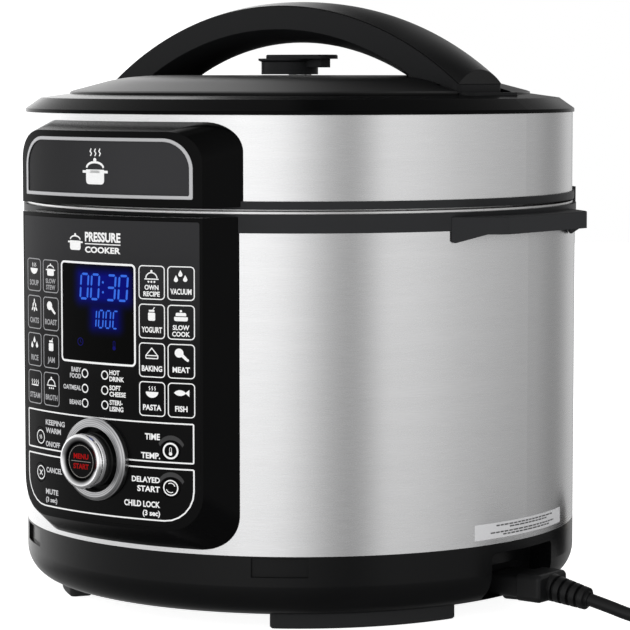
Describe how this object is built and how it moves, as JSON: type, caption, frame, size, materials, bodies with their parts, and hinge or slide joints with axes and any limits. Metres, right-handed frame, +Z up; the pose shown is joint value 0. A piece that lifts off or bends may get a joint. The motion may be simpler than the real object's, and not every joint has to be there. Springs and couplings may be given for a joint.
{
  "type": "electric pressure cooker",
  "caption": "Round electric pressure cooker with a lift-off arched-handle lid, an inner pot, a front control panel with dial and display, and a mains lead.",
  "frame": {"origin": "floor plane under the pot's axis, centre of the cooker's footprint without its cord", "axes": "+Z up along the pot's axis, -Y towards the front panel, +X towards the power inlet"},
  "size_m": [0.4407, 0.3506, 0.3088],
  "materials": {
    "body_plastic": "moulded satin black",
    "gloss_plastic": "glossy black",
    "steel_sleeve": "brushed around the body",
    "pot_steel": "satin",
    "pot_coating": "non-stick coated aluminium pot",
    "aluminium": "cast",
    "foot_rubber": "matte",
    "gasket_silicone": "satin",
    "chrome": "polished",
    "silver_trim": "satin silver",
    "plate_insert": "satin dark grey",
    "window": "display lens",
    "board": "circuit board",
    "electrics": "electrical parts",
    "label": "blank sticker",
    "cord_rubber": "black PVC",
    "pins": "nickel plated brass",
    "screw_steel": "zinc plated"
  },
  "bodies": {
    "cooker": {"base_shell": "body_plastic", "feet": "foot_rubber", "body_shell": "steel_sleeve", "body_collar": "body_plastic", "rear_gutter": "body_plastic", "carry_handle_right": "body_plastic", "carry_handle_left": "body_plastic", "cup_rails": "body_plastic", "body_label": "label", "outer_pot": "pot_steel", "heat_shield": "aluminium", "heating_plate": "aluminium", "heating_tube": "pot_steel", "pressure_bracket": "pot_steel", "pressure_switch": "electrics", "sensor_spring": "screw_steel", "power_board": "board", "control_board": "board", "display_module": "electrics", "encoder": "electrics", "panel_housing": "gloss_plastic", "front_film": "gloss_plastic", "display_window": "window", "knob_bezel": "silver_trim", "inlet_socket": "electrics", "connector": "cord_rubber", "strain_relief": "cord_rubber", "cord_lead": "cord_rubber", "cord_tail": "cord_rubber", "cord_coil": "cord_rubber", "cord_tie": "electrics", "plug": "cord_rubber", "plug_pins": "pins", "base_screws": "screw_steel"},
    "inner_pot_body": {"inner_pot": "pot_coating"},
    "sensor": {"pot_sensor": "aluminium"},
    "dial": {"knob_dial": "chrome"},
    "dial_cap": {"knob_cap": "gloss_plastic"},
    "key_keep_warm": {"button_keep_warm": "gloss_plastic"},
    "key_cancel": {"button_cancel": "gloss_plastic"},
    "key_time": {"button_time": "gloss_plastic"},
    "key_delay": {"button_delay": "gloss_plastic"},
    "drip_cup": {"condensate_cup": "body_plastic"},
    "lid_inner": {"pressure_plate": "pot_steel", "seal_gasket": "gasket_silicone", "exhaust_pipe": "pot_steel", "block_shield": "pot_steel"},
    "float": {"float_valve": "pot_steel"},
    "lid_cover": {"locking_ring": "pot_steel", "lid_skirt": "body_plastic", "lid_band": "steel_sleeve", "lid_rim": "gloss_plastic", "lid_dome": "body_plastic", "lid_front": "gloss_plastic", "lid_front_frame": "silver_trim", "lid_front_plate": "plate_insert", "handle_shell": "body_plastic", "handle_cover": "gloss_plastic", "lid_screws": "screw_steel"},
    "valve": {"steam_valve": "body_plastic"}
  },
  "joints": [
    {"name": "lid_lift", "type": "slide", "parent": "cooker", "child": "lid_inner", "axis": [0, 0, 1], "range_m": [0, 0.42]},
    {"name": "lid_turn", "type": "hinge", "parent": "lid_inner", "child": "lid_cover", "pos_m": [0, 0, 0.21], "axis": [0, 0, 1], "range_deg": [0, 30]},
    {"name": "steam_valve_turn", "type": "hinge", "parent": "lid_inner", "child": "valve", "pos_m": [0, 0, 0.275], "axis": [0, 0, 1], "range_deg": [0, 45]},
    {"name": "float_rise", "type": "slide", "parent": "lid_inner", "child": "float", "axis": [0, 0, 1], "range_m": [0, 0.004]},
    {"name": "pot_lift", "type": "slide", "parent": "cooker", "child": "inner_pot_body", "axis": [0, 0, 1], "range_m": [0, 0.19]},
    {"name": "sensor_press", "type": "slide", "parent": "cooker", "child": "sensor", "axis": [0, 0, 1], "range_m": [-0.0025, 0], "stiffness_N_per_m": 400, "springref_m": 0.002, "deforming": ["sensor_spring"]},
    {"name": "dial_turn", "type": "hinge", "parent": "cooker", "child": "dial", "pos_m": [0, -0.166, 0.084], "axis": [0, -1, 0], "continuous": true},
    {"name": "dial_press", "type": "slide", "parent": "cooker", "child": "dial_cap", "axis": [0, 1, 0], "range_m": [0, 0.001], "stiffness_N_per_m": 900},
    {"name": "press_keep_warm", "type": "slide", "parent": "cooker", "child": "key_keep_warm", "axis": [0, 1, 0], "range_m": [0, 0.0006], "stiffness_N_per_m": 800},
    {"name": "press_cancel", "type": "slide", "parent": "cooker", "child": "key_cancel", "axis": [0, 1, 0], "range_m": [0, 0.0006], "stiffness_N_per_m": 800},
    {"name": "press_time", "type": "slide", "parent": "cooker", "child": "key_time", "axis": [0, 1, 0], "range_m": [0, 0.0006], "stiffness_N_per_m": 800},
    {"name": "press_delay", "type": "slide", "parent": "cooker", "child": "key_delay", "axis": [0, 1, 0], "range_m": [0, 0.0006], "stiffness_N_per_m": 800},
    {"name": "cup_pull", "type": "slide", "parent": "cooker", "child": "drip_cup", "axis": [0, 1, 0], "range_m": [0, 0.05]}
  ],
  "couplings": [
    {"joint": "pot_lift", "follows": "lid_lift", "ratio": 0.45}
  ]
}
